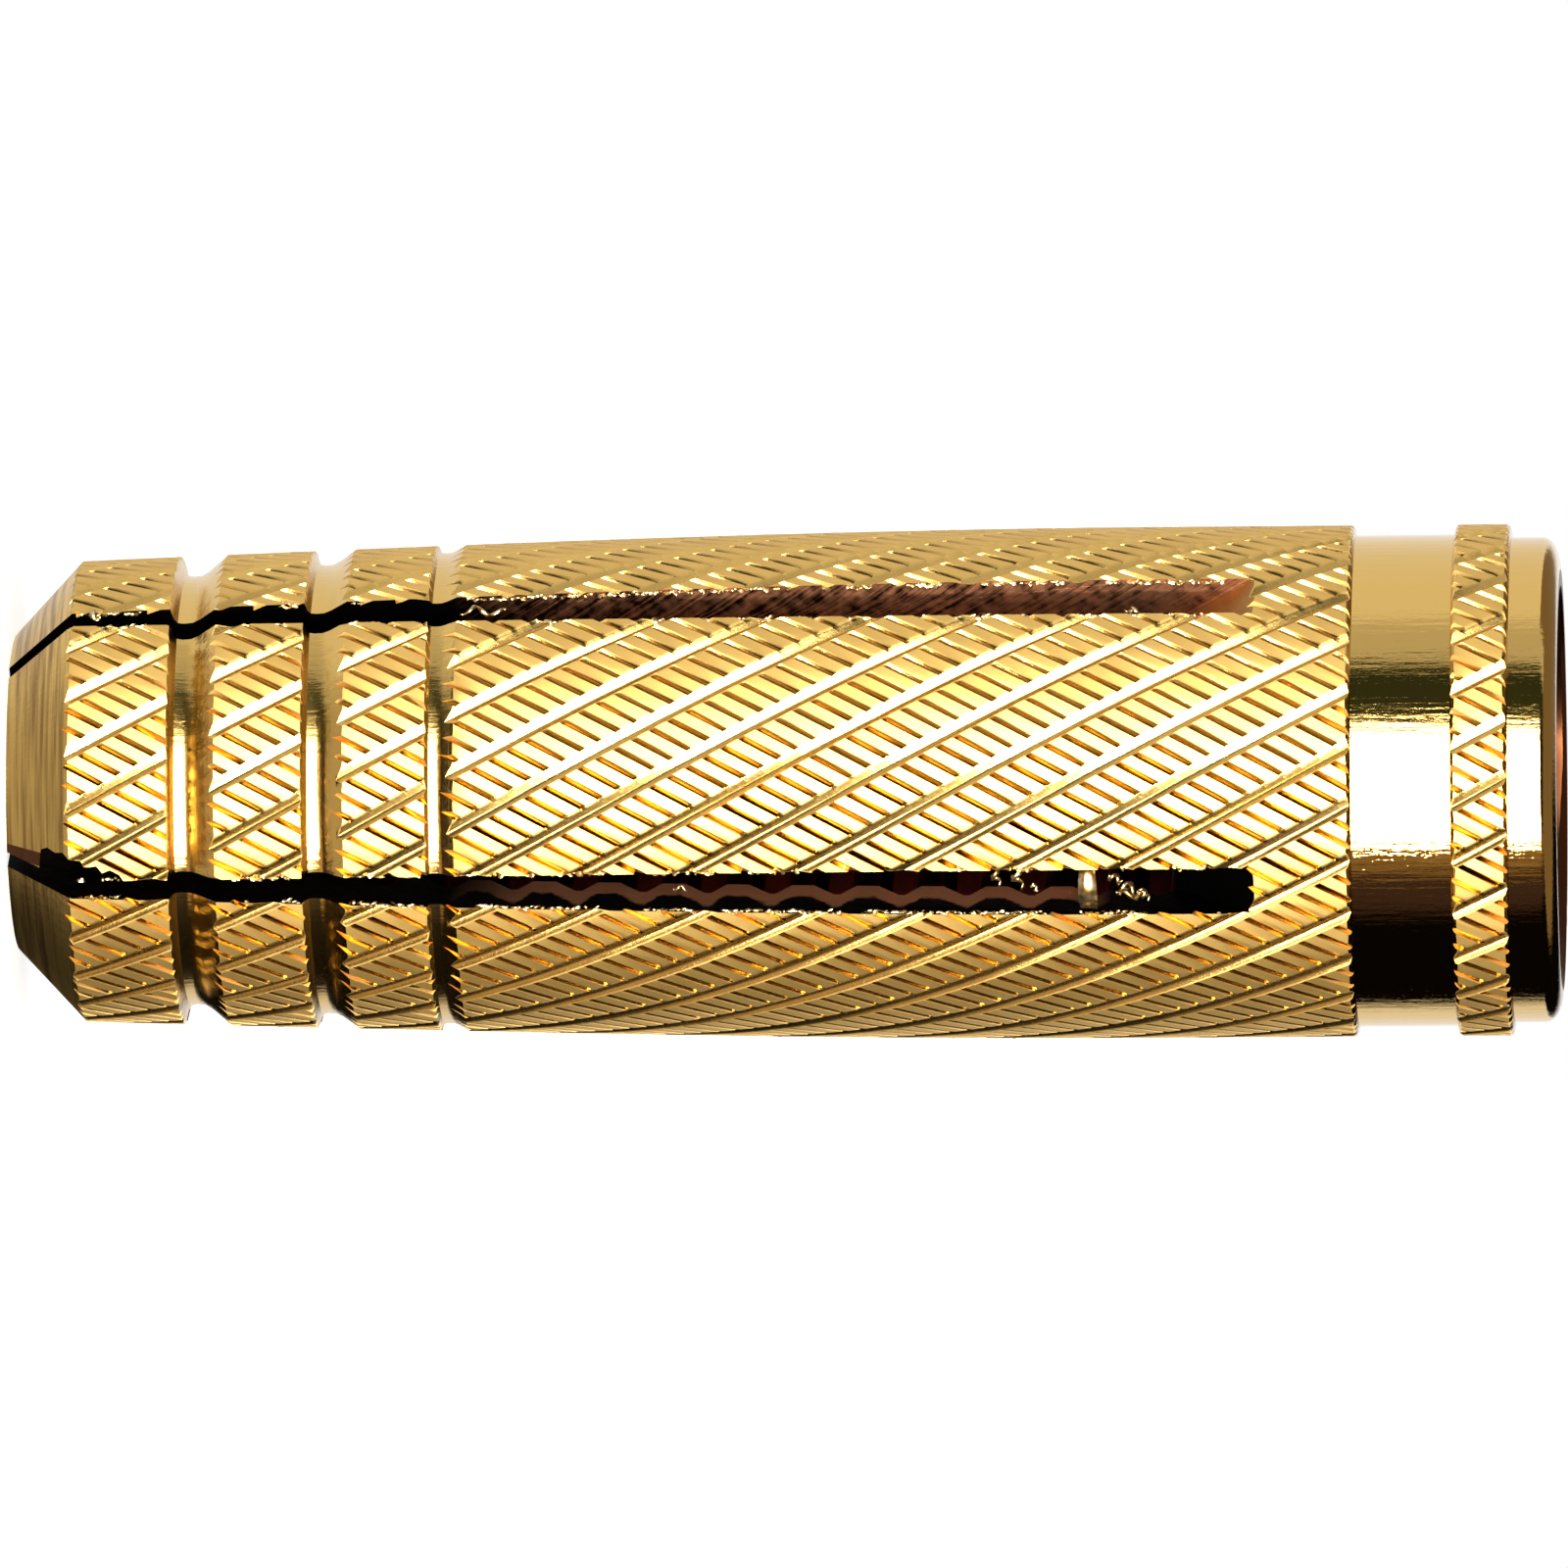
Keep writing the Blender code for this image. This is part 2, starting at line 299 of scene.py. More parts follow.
    # Oil and painted shade: black on one wall of each slot, but for the upper slot's end, and on every wall near the
    # tip
    darkWall = add("ShaderNodeMath", (onShadedWall, upperSlotEnd), operation="SUBTRACT", use_clamp=True)
    darkened = add("ShaderNodeMath", (darkWall, atTip), operation="MAXIMUM")
    wall = add("ShaderNodeMix", {"Factor": darkened, "A": streaked, "B": colours["oilShadeBlack"]}, data_type="RGBA")
    walls = add("ShaderNodeMix", {"Factor": litBand, "A": wall, "B": colours["litEdge"]}, data_type="RGBA")
    # The blade's last arc, at the slots' ends
    low, high = zones["sawFloor"]
    onFloor = add("ShaderNodeMapRange", (arc, (lastArc + low) * mm, (lastArc + high) * mm))
    floorBare = add("ShaderNodeMath", (onFloor, upperSide), operation="MULTIPLY")
    colour = add("ShaderNodeMix", {"Factor": floorBare, "A": walls, "B": colours["sawFloor"]}, data_type="RGBA")
    bump = add("ShaderNodeBump", {"Height": mixed, "Distance": 0.02 * mm})
    bare = add("ShaderNodeMath", (1.0, darkened), operation="SUBTRACT")
    shone = add("ShaderNodeMath", (bare, litBand), operation="MAXIMUM")
    metal = add("ShaderNodeMath", (shone, floorBare), operation="MAXIMUM")
    fillSockets(made.node_tree, shader, {"Base Color": colour, "Normal": bump, "Metallic": metal, "Roughness": 0.5,
        "Specular IOR Level": 0.02})
    return made


def makeTappedBrass():
    # Brass drilled and tapped deep inside, wet with dark oil and painted dark as shade: brown, with a painted glint
    # on its crests
    made, add, shader, place = startMetal("tappedBrass")
    ringPlace = add("ShaderNodeMapping", {"Vector": place, "Scale": (0.05, 0.05, 1.0)})
    rings = add("ShaderNodeTexNoise", {"Vector": ringPlace, "Scale": 8.0 / mm, "Detail": 3.0})
    # Oil and painted shade: the bore is painted dark brown
    oilyShaded = add("ShaderNodeMix", {"Factor": rings, "A": colours["boreOilShade"], "B": colours["boreOilShadeBrown"]},
        data_type="RGBA")
    spread = add("ShaderNodeAttribute", attribute_name="cutRadius").outputs["Fac"]
    # Painted glint: the thread's crests inside the bore are painted pale, as if they caught light
    crest = add("ShaderNodeMapRange", {0: spread, **fade("crestGlint", 1, 0)})
    height = add("ShaderNodeSeparateXYZ", {0: place}).outputs["Z"]
    deep = add("ShaderNodeMapRange", {0: height, **fade("boreDeep", 1, 0)})
    tapped = add("ShaderNodeMapRange", {0: height, **fade("boreTapped")})
    between = add("ShaderNodeMath", (deep, tapped), operation="MULTIPLY")
    wearAndGlint = add("ShaderNodeMath", (crest, between), operation="MULTIPLY")
    colour = add("ShaderNodeMix", {"Factor": wearAndGlint, "A": oilyShaded, "B": colours["crestGlint"]}, data_type="RGBA")
    fillSockets(made.node_tree, shader, {"Base Color": colour, "Roughness": 0.28})
    return made


def makeTornBrass():
    # Fresh brass where the tools tore it: pale and bright, with facets that glitter along the slots
    made, add, shader, place = startMetal("tornBrass")
    patch = add("ShaderNodeTexNoise", {"Vector": place, "Scale": 7.0 / mm, "Detail": 2.0})
    shade = add("ShaderNodeMapRange", (patch, 0.35, 0.65))
    colour = add("ShaderNodeMix", {"Factor": shade, "A": colours["tornDull"], "B": colours["tornBright"]},
        data_type="RGBA")
    fillSockets(made.node_tree, shader, {"Base Color": colour, "Roughness": 0.34})
    return made


# Turned blank

blank = {
    "length": 30.0, "bodyRadius": 4.96, "tipRadius": 3.60, "chamferLength": 1.32,
    "bodyEnd": 26.06, "shoulderRun": 0.03, "shoulderRound": 0.14, "shoulderDrop": 0.09, "bandRadius": 4.76,
    "collarStart": 27.96, "collarEnd": 29.08, "mouthRingRadius": 4.70, "mouthRound": 0.32, "mouthFaceRadius": 4.08,
    "boreRadius": 3.70, "mouthChamfer": 0.08, "throatRadius": 2.55, "throatLength": 1.20, "coneEnd": 6.40,
    "grooves": ((3.20, 0.95, 0.40), (5.80, 0.85, 0.29), (8.20, 0.60, 0.15)),  # start, width and depth of each
    # share of the groove's width, share of its depth
    "grooveSection": ((0, 0), (0.07, 0.70), (0.14, 0.94), (0.26, 1.0), (0.44, 0.97), (0.60, 0.76), (0.82, 0.34),
                      (1, 0)),
    "clearance": 0.012,  # the lathe tool just misses the knurl's tops
    "shoulderBow": (0.45, 0.35),  # shares of the round and of the drop at the shoulder's middle point
    "segments": 96, "mouthSteps": 6,
    "spare": 1.5, "overlap": 0.5,  # how far the tools run past the blank, and the turnings into the bore
}


def outerOutline():
    b = blank
    top = b["bodyRadius"] + b["clearance"]
    bowRun, bowDrop = b["shoulderBow"]
    corner = ((b["shoulderRun"], b["shoulderDrop"]), (b["shoulderRound"] * bowRun, b["shoulderDrop"] * bowDrop),
              (b["shoulderRound"], 0.0))
    points = [(0.0, b["tipRadius"]), (b["chamferLength"], top)]
    for start, width, depth in b["grooves"]:
        deepest = depth + b["clearance"]
        points += [(start + along * width, top - down * deepest) for along, down in b["grooveSection"]]
    points += [(b["bodyEnd"] - run, top - drop) for run, drop in reversed(corner)]
    points += [(b["bodyEnd"], b["bandRadius"]), (b["collarStart"], b["bandRadius"])]
    points += [(b["collarStart"] + run, top - drop) for run, drop in corner]
    points += [(b["collarEnd"] - run, top - drop) for run, drop in reversed(corner)]
    points += [(b["collarEnd"], b["mouthRingRadius"])]
    for step in range(b["mouthSteps"] + 1):
        turn = math.pi / 2 * step / b["mouthSteps"]
        width = b["mouthRingRadius"] - b["mouthFaceRadius"]
        height = b["length"] - b["mouthRound"] * (1 - math.sin(turn))
        points.append((height, b["mouthFaceRadius"] + width * math.cos(turn)))
    return points


def turnLoop(name, loop, closed):
    # Turns a loop of heights and radii round the axis; an open one gets a flat face at each end
    mesh = bmesh.new()
    rings = []
    turns = [2 * math.pi * step / blank["segments"] for step in range(blank["segments"])]
    for height, radius in loop:
        rings.append([mesh.verts.new(polar(radius, turn, height) * mm) for turn in turns])
    for before, ring in zip(rings, rings[1:] + rings[:1]) if closed else zip(rings, rings[1:]):
        joinRings(mesh, before, ring)
    if not closed:
        mesh.faces.new(rings[0])
        mesh.faces.new(rings[-1])
    return addBuilt(name, mesh)


def makeTurnings():
    # The metal that the lathe takes off the outside and both ends of the knurled bar
    b = blank
    low, high = -b["spare"], b["length"] + b["spare"]
    near, far = b["throatRadius"] - b["overlap"], b["bodyRadius"] + b["spare"]
    return turnLoop("turnings", outerOutline() + [
        (b["length"], near), (high, near), (high, far), (low, far), (low, near), (0.0, near)], True)


def makeDrill():
    # The metal that the drill takes out: the throat, the cone and the bore
    b = blank
    mouth, beyond = b["boreRadius"] + b["mouthChamfer"], 2 * b["spare"]
    throat = [(-beyond, b["throatRadius"]), (b["throatLength"], b["throatRadius"])]
    bore = [(b["coneEnd"], b["boreRadius"]), (b["length"] - b["mouthChamfer"], b["boreRadius"])]
    return turnLoop("drill", throat + bore + [(b["length"], mouth), (b["length"] + beyond, mouth)], False)


# Tapped thread

thread = {
    "pitch": 1.25, "crestRadius": 3.66, "rootRadius": 4.10, "start": 5.2, "end": 31.2,
    "turn": -127.0, "segments": 48, "weld": 0.0001,
    "section": ((0.0, 0.0), (0.14, 0.0), (0.50, 1.0), (0.60, 1.0), (0.86, 0.0)),  # share of the pitch, of the depth
    "runOut": 2.5,  # the tap's taper, over which the thread fades in
}


def makeTap():
    # The tap's body as a closed right-handed screw, which is taken out of the blank
    t = thread
    samples = len(t["section"])
    turns = math.ceil((t["end"] - t["start"]) / t["pitch"])
    mesh = bmesh.new()
    columns = []
    for step in range(t["segments"]):
        share = step / t["segments"]
        turn = 2 * math.pi * share + math.radians(t["turn"])
        column = []
        for row in range((turns + 1) * samples):
            along, depth = t["section"][row % samples]
            height = t["start"] + t["pitch"] * (row // samples - 1 + along + share)
            if height <= t["start"] or height >= t["end"]:
                depth = 0.0
            taper = min(1.0, (height - t["start"]) / t["runOut"])
            radius = t["crestRadius"] + (t["rootRadius"] - t["crestRadius"]) * depth * taper
            height = min(max(height, t["start"]), t["end"])
            column.append(mesh.verts.new(polar(radius, turn, height) * mm))
        columns.append(column)
    for step in range(t["segments"]):
        beside = columns[(step + 1) % t["segments"]]
        lift = samples if step == t["segments"] - 1 else 0  # one turn round is one pitch up
        for row in range(len(beside) - 1 - lift):
            mesh.faces.new((columns[step][row], beside[row + lift], beside[row + 1 + lift], columns[step][row + 1]))
    bmesh.ops.remove_doubles(mesh, verts=mesh.verts, dist=t["weld"] * mm)
    bmesh.ops.holes_fill(mesh, edges=[edge for edge in mesh.edges if edge.is_boundary], sides=0)
    return addBuilt("tap", mesh)


# Saw

saw = {"slots": 5, "width": 0.96, "root": 24.2, "radius": 16.0, "reach": 3.60, "steps": 24, "overrun": 1.2}


def bladeAxis():
    # The blade's arbor where each cut ends: its distance from the sleeve's axis, and its height
    away = blank["bodyRadius"] - saw["reach"] + saw["radius"]
    return away, saw["root"] - math.sqrt(saw["radius"] ** 2 - (away - blank["bodyRadius"]) ** 2)


def slotDirections(slot, beside=0.0):
    # Outward through the middle of a slot, or through an angle beside it, and the direction across that
    turn = 2 * math.pi * slot / saw["slots"] + beside
    return Vector((math.cos(turn), math.sin(turn), 0)), Vector((-math.sin(turn), math.cos(turn), 0))


def makeSaw():
    # Five blades; each slot's floor rises to the outside in the arc that a round saw leaves
    floor = blank["bodyRadius"] - saw["reach"]
    away, height = bladeAxis()
    outside = blank["bodyRadius"] + saw["overrun"]
    outline = [(outside, -saw["overrun"]), (floor, -saw["overrun"])]
    last = math.acos((away - outside) / saw["radius"])
    for step in range(saw["steps"] + 1):
        turn = last * step / saw["steps"]
        outline.append((away - saw["radius"] * math.cos(turn), height + saw["radius"] * math.sin(turn)))
    mesh = bmesh.new()
    for slot in range(saw["slots"]):
        outward, sideways = slotDirections(slot)
        half = sideways * saw["width"] / 2
        near = [mesh.verts.new((outward * r - half + Vector((0, 0, z))) * mm) for r, z in outline]
        far = [mesh.verts.new((outward * r + half + Vector((0, 0, z))) * mm) for r, z in outline]
        mesh.faces.new(near)
        mesh.faces.new(list(reversed(far)))
        joinRings(mesh, near, far)
    return addBuilt("saw", mesh)


# Torn corner

tear = {
    "slot": 4, "side": -0.40,  # which slot, and how far beside its middle the break starts
    "inner": 3.0, "outer": 5.6,
    # heights along the slot's edge and how far the break goes into the leaf
    "outline": ((0.66, -0.1), (0.72, 0.46), (0.86, 0.56), (1.02, 0.53), (1.18, 0.60), (1.34, 0.50), (1.52, 0.46),
                (1.60, 0.36), (1.84, 0.38), (1.95, 0.24), (2.10, 0.30), (2.28, 0.20), (2.46, -0.1)),
}


def makeTear():
    # A wedge with a ragged outline: the corner of one leaf broke off there when the saw went in
    t = tear
    outward, sideways = slotDirections(t["slot"])
    mesh = bmesh.new()
    sides = []
    for reach in (t["inner"], t["outer"]):
        sides.append([mesh.verts.new((outward * reach + sideways * (t["side"] - deep) + Vector((0, 0, z))) * mm)
                      for z, deep in t["outline"]])
    mesh.faces.new(sides[0])
    mesh.faces.new(list(reversed(sides[1])))
    joinRings(mesh, *sides)
    return addBuilt("tear", mesh)


rolledBrass = makeRolledBrass()
tornBrass = makeTornBrass()
turnedBrass = makeTurnedBrass()
sawnBrass = makeSawnBrass()
tappedBrass = makeTappedBrass()
print("brass finishes made")


# Knurled sleeve

knurl = {
    # share of the step, share of the groove's depth, and how much of a gap's depth reaches there
    "coarseSection": ((0.0, 1.0, 0.0), (0.03, 0.90, 0.0), (0.075, 0.45, 0.0), (0.12, 0.0, 0.0), (0.175, 0.0, 1.0),
                      (0.80, 0.0, 1.0), (0.84, 0.08, 0.35), (0.91, 0.50, 0.0)),
    # share of the step and share of the gap's depth: the wheel left one edge steeper
    "fineSection": ((0.0, 1.0), (0.04, 0.0), (0.35, 0.0), (0.66, 0.0), (0.83, 0.5)),
    "gapSpread": (0.75, 1.15), "grooveSpread": (0.9, 1.1),  # shares of the depth that a bar's or a groove's can be
    "rippleScale": 1.6, "weld": 0.001, "capRise": 0.5, "boredMargin": 0.3, "softAngle": 30.0,
    "numbersPerStart": 1000,  # more than the bars along one groove, so that each bar has its own number
}
sleeve = {  # inputs of the node tree; lengths in millimetres, and the turn in degrees
    "Top Radius": 4.955, "Coarse Starts": 28, "Coarse Step": 2.08, "Coarse Depth": 0.08,  # left-handed grooves
    "Fine Starts": 84, "Fine Step": 0.688, "Fine Depth": 0.125,  # right-handed gaps between the bars
    "Turn": 4.56, "Low": -0.5, "High": 30.5, "Waver": 0.012, "Seed": 7,
    "Slots": saw["slots"], "Free Height": 22.43, "Squeeze": 0.56,
}
sleeveAngles = ("Turn",)


def growSleeveTree(turnings, drill, tap, blades, torn):
    tree, add, given = startTree("knurledSleeve", sleeve)
    coarse, fine = knurl["coarseSection"], knurl["fineSection"]
    gapSpread, grooveSpread, weld = knurl["gapSpread"], knurl["grooveSpread"], knurl["weld"] * mm

    # Rise: how many fine steps one metre of height crosses along a coarse groove
    perFine = add("ShaderNodeMath", (1.0, given["Fine Step"]), operation="DIVIDE")
    climb = add("ShaderNodeMath", (given["Coarse Starts"], given["Coarse Step"]), operation="MULTIPLY")
    perCoarse = add("ShaderNodeMath", (given["Fine Starts"], climb), operation="DIVIDE")
    rise = add("ShaderNodeMath", (perFine, perCoarse), operation="ADD")
    highRise = add("ShaderNodeMath", (given["High"], rise), operation="MULTIPLY")
    below = add("ShaderNodeMath", {0: highRise}, operation="CEIL")
    lowRise = add("ShaderNodeMath", (given["Low"], rise), operation="MULTIPLY")
    aboveExact = add("ShaderNodeMath", (given["Fine Starts"], lowRise), operation="SUBTRACT")
    above = add("ShaderNodeMath", {0: aboveExact}, operation="CEIL")
    units = add("ShaderNodeMath", (below, above), operation="ADD")
    rows = add("ShaderNodeMath", (units, float(len(fine)), 1.0), operation="MULTIPLY_ADD")
    columns = add("ShaderNodeMath", (given["Coarse Starts"], float(len(coarse)), 1.0), operation="MULTIPLY_ADD")
    lattice = add("GeometryNodeMeshGrid", {"Vertices X": columns, "Vertices Y": rows})

    # Where each point lies: which groove and which gap, and how far across each
    index = add("GeometryNodeInputIndex")
    column = add("FunctionNodeIntegerMath", (index, rows), operation="DIVIDE_FLOOR")
    row = add("FunctionNodeIntegerMath", (index, rows), operation="MODULO")
    start = add("FunctionNodeIntegerMath", (column, len(coarse)), operation="DIVIDE_FLOOR")
    startSample = add("FunctionNodeIntegerMath", (column, len(coarse)), operation="MODULO")
    gap = add("FunctionNodeIntegerMath", (row, len(fine)), operation="DIVIDE_FLOOR")
    gapSample = add("FunctionNodeIntegerMath", (row, len(fine)), operation="MODULO")
    looked = []
    for section, sample, parts in ((coarse, startSample, (0, 1, 2)), (fine, gapSample, (0, 1))):
        for part in parts:
            picker = add("GeometryNodeIndexSwitch", {0: sample}, data_type="FLOAT")
            while len(picker.index_switch_items) < len(section):
                picker.index_switch_items.new()
            for item, pair in enumerate(section):
                picker.inputs[item + 1].default_value = pair[part]
            looked.append(picker)
    startShare, startDepth, gapReach, gapShare, gapDepth = looked
    across = add("ShaderNodeMath", (start, startShare), operation="ADD")
    gapPlace = add("ShaderNodeMath", (gap, gapShare), operation="ADD")
    along = add("ShaderNodeMath", (gapPlace, below), operation="SUBTRACT")

    # Height and angle from the two helices
    ratio = add("ShaderNodeMath", (given["Fine Starts"], given["Coarse Starts"]), operation="DIVIDE")
    tilted = add("ShaderNodeMath", (across, ratio), operation="MULTIPLY")
    climbed = add("ShaderNodeMath", (tilted, along), operation="SUBTRACT")
    height = add("ShaderNodeMath", (climbed, rise), operation="DIVIDE")
    stepped = add("ShaderNodeMath", (height, given["Coarse Step"]), operation="DIVIDE")
    around = add("ShaderNodeMath", (across, stepped), operation="SUBTRACT")
    turns = add("ShaderNodeMath", (around, given["Coarse Starts"]), operation="DIVIDE")
    angle = add("ShaderNodeMath", (turns, 2 * math.pi, given["Turn"]), operation="MULTIPLY_ADD")

    # Every bar is pressed a little differently; the last column is the first one again, so it gets the same number
    wrap = add("FunctionNodeIntegerMath", (start, given["Coarse Starts"]), operation="DIVIDE_FLOOR")
    startHome = add("FunctionNodeIntegerMath", (start, given["Coarse Starts"]), operation="MODULO")
    wrapGaps = add("FunctionNodeIntegerMath", (wrap, given["Fine Starts"]), operation="MULTIPLY")
    gapHome = add("FunctionNodeIntegerMath", (gap, wrapGaps), operation="SUBTRACT")
    barNumber = add("FunctionNodeIntegerMath", (startHome, knurl["numbersPerStart"], gapHome),
        operation="MULTIPLY_ADD")
    gapRandom = add("FunctionNodeRandomValue", {2: gapSpread[0], 3: gapSpread[1], "ID": barNumber,
        "Seed": given["Seed"]})
    grooveRandom = add("FunctionNodeRandomValue", {2: grooveSpread[0], 3: grooveSpread[1], "ID": startHome,
        "Seed": given["Seed"]})
    gapFull = add("ShaderNodeMath", (gapDepth, gapRandom), operation="MULTIPLY")
    gapDeep = add("ShaderNodeMath", (gapFull, gapReach), operation="MULTIPLY")
    gapDown = add("ShaderNodeMath", (gapDeep, given["Fine Depth"]), operation="MULTIPLY")
    grooveDeep = add("ShaderNodeMath", (startDepth, grooveRandom), operation="MULTIPLY")
    grooveDown = add("ShaderNodeMath", (grooveDeep, given["Coarse Depth"]), operation="MULTIPLY")
    down = add("ShaderNodeMath", (gapDown, grooveDown), operation="MAXIMUM")
    radius = add("ShaderNodeMath", (given["Top Radius"], down), operation="SUBTRACT")
    spoke = add("ShaderNodeCombineXYZ", {"X": radius, "Z": height})
    placed = add("ShaderNodeVectorRotate", {"Vector": spoke, "Angle": angle}, rotation_type="Z_AXIS")
    gapKept = add("GeometryNodeStoreNamedAttribute", {"Geometry": lattice, "Name": "gapShare", "Value": gapDeep})
    grooveKept = add("GeometryNodeStoreNamedAttribute", {"Geometry": gapKept, "Name": "grooveShare",
        "Value": startDepth})
    wound = add("GeometryNodeSetPosition", {"Geometry": grooveKept, "Position": placed})
    outward = add("GeometryNodeFlipFaces", {0: wound})
    welded = add("GeometryNodeMergeByDistance", {"Geometry": outward, "Distance": weld})
    place = add("GeometryNodeInputPosition")
    ripple = add("ShaderNodeTexNoise", {"Vector": place, "Scale": knurl["rippleScale"] / mm, "Detail": 1.0})
    centred = add("ShaderNodeVectorMath", (ripple.outputs["Color"], (0.5, 0.5, 0.5)), operation="SUBTRACT")
    waver = add("ShaderNodeVectorMath", {0: centred, "Scale": given["Waver"]}, operation="SCALE")
    waved = add("GeometryNodeSetPosition", {"Geometry": welded, "Offset": waver})

    # Cut to length, then closed at both ends
    apart = add("ShaderNodeSeparateXYZ", {0: place}).outputs
    placeZ = apart["Z"]
    tooHigh = add("FunctionNodeCompare", (placeZ, given["High"]), operation="GREATER_THAN")
    tooLow = add("FunctionNodeCompare", (placeZ, given["Low"]), operation="LESS_THAN")
    outside = add("FunctionNodeBooleanMath", (tooHigh, tooLow), operation="OR")
    cut = add("GeometryNodeDeleteGeometry", {"Geometry": waved, "Selection": outside}, domain="FACE")
    neighbours = add("GeometryNodeInputMeshEdgeNeighbors")
    rim = add("FunctionNodeCompare", {2: neighbours, 3: 1}, data_type="INT", operation="EQUAL")
    middle = add("ShaderNodeMath", (given["Low"], given["High"]), operation="ADD")
    half = add("ShaderNodeMath", (middle, 0.5), operation="MULTIPLY")
    upper = add("FunctionNodeCompare", (placeZ, half), operation="GREATER_THAN")
    endHigh = add("ShaderNodeMath", (given["High"], knurl["capRise"] * mm), operation="ADD")
    endLow = add("ShaderNodeMath", (given["Low"], knurl["capRise"] * mm), operation="SUBTRACT")
    endHeight = add("GeometryNodeSwitch", (upper, endLow, endHigh), input_type="FLOAT")
    placeXY = add("ShaderNodeVectorMath", (place, (1.0, 1.0, 0.0)), operation="MULTIPLY")
    endPlace = add("ShaderNodeCombineXYZ", {"Z": endHeight})
    skirtPlace = add("ShaderNodeVectorMath", (placeXY, endPlace), operation="ADD")
    capped = cut
    for goal in (skirtPlace, endPlace):
        ring = add("GeometryNodeExtrudeMesh", {"Mesh": capped, "Selection": rim, "Offset Scale": 0.0}, mode="EDGES")
        capped = add("GeometryNodeSetPosition", {"Geometry": ring.outputs["Mesh"], "Selection": ring.outputs["Top"],
                                                 "Position": goal})
    closed = add("GeometryNodeMergeByDistance", {"Geometry": capped, "Distance": weld})

    # Turned, tapped and sawn: each tool's own finish stays on the faces that it leaves
    made = add("GeometryNodeSetMaterial", {"Geometry": closed, "Material": rolledBrass})
    for piece, finish in ((turnings, turnedBrass), (drill, tappedBrass), (tap, tappedBrass), (blades, sawnBrass),
                          (torn, sawnBrass)):
        brought = add("GeometryNodeObjectInfo", {"Object": piece}).outputs["Geometry"]
        tool = add("GeometryNodeSetMaterial", {"Geometry": brought, "Material": finish})
        made = add("GeometryNodeMeshBoolean", (made, tool), operation="DIFFERENCE", solver="MANIFOLD")
    flat = add("ShaderNodeVectorMath", {0: placeXY}, operation="LENGTH").outputs["Value"]
    inside = add("FunctionNodeCompare", (flat, (blank["boreRadius"] + knurl["boredMargin"]) * mm),
        operation="LESS_THAN")
    radiusKept = add("GeometryNodeStoreNamedAttribute", {"Geometry": made, "Name": "cutRadius", "Value": flat})
    bored = add("GeometryNodeCaptureAttribute", {"Geometry": radiusKept}, domain="FACE")
    bored.capture_items.new("BOOLEAN", "Bored")
    tree.links.new(inside.outputs[0], bored.inputs["Bored"])

    # Squeezed leaves: each bends like a beam held at its root and pushed at its tip
    heading = add("ShaderNodeMath", (apart["Y"], apart["X"]), operation="ARCTAN2")
    fullTurn = add("ShaderNodeMath", (heading, 2 * math.pi), operation="FLOORED_MODULO")
    leafAngle = add("ShaderNodeMath", (2 * math.pi, given["Slots"]), operation="DIVIDE")
    leafShare = add("ShaderNodeMath", (fullTurn, leafAngle), operation="DIVIDE")
    leaf = add("ShaderNodeMath", {0: leafShare}, operation="FLOOR")
    leafPart = add("ShaderNodeMath", {0: leafShare}, operation="FRACT")
    # The side of each leaf whose slot wall gets the painted shade and the painted lit band
    shadedSide = add("ShaderNodeMath", (leafPart, 0.5), operation="LESS_THAN")
    sideKept = add("GeometryNodeStoreNamedAttribute", {"Geometry": bored, "Name": "dirtyWall", "Value": shadedSide},
        domain="FACE")
    leafHalf = add("ShaderNodeMath", (leaf, 0.5), operation="ADD")
    leafMiddle = add("ShaderNodeMath", (leafHalf, leafAngle), operation="MULTIPLY")
    freeAbove = add("ShaderNodeMath", (given["Free Height"], placeZ), operation="SUBTRACT")
    share = add("ShaderNodeMath", (freeAbove, given["Free Height"]), operation="DIVIDE", use_clamp=True)
    square = add("ShaderNodeMath", (share, share), operation="MULTIPLY")
    threeLess = add("ShaderNodeMath", (3.0, share), operation="SUBTRACT")
    curve = add("ShaderNodeMath", (square, threeLess), operation="MULTIPLY")
    halfSqueeze = add("ShaderNodeMath", (given["Squeeze"], -0.5), operation="MULTIPLY")
    bend = add("ShaderNodeMath", (curve, halfSqueeze), operation="MULTIPLY")
    push = add("ShaderNodeCombineXYZ", {"X": bend})
    inward = add("ShaderNodeVectorRotate", {"Vector": push, "Angle": leafMiddle}, rotation_type="Z_AXIS")
    squeezed = add("GeometryNodeSetPosition", {"Geometry": sideKept, "Offset": inward})
    edgeAngle = add("GeometryNodeInputMeshEdgeAngle").outputs["Unsigned Angle"]
    soft = add("FunctionNodeCompare", (edgeAngle, math.radians(knurl["softAngle"])), operation="LESS_THAN")
    smoothFaces = add("GeometryNodeSetShadeSmooth", {"Geometry": squeezed}, domain="FACE")
    smooth = add("GeometryNodeSetShadeSmooth", {"Geometry": smoothFaces, "Shade Smooth": soft}, domain="EDGE")
    real = add("GeometryNodeRealizeInstances", {"Geometry": smooth})
    onTurned = add("GeometryNodeMaterialSelection", {"Material": turnedBrass})
    within = add("FunctionNodeBooleanMath", (bored.outputs["Bored"], onTurned), operation="AND")
    finished = add("GeometryNodeSetMaterial", {"Geometry": real, "Selection": within, "Material": tappedBrass})
    add("NodeGroupOutput", {0: finished})
    return tree


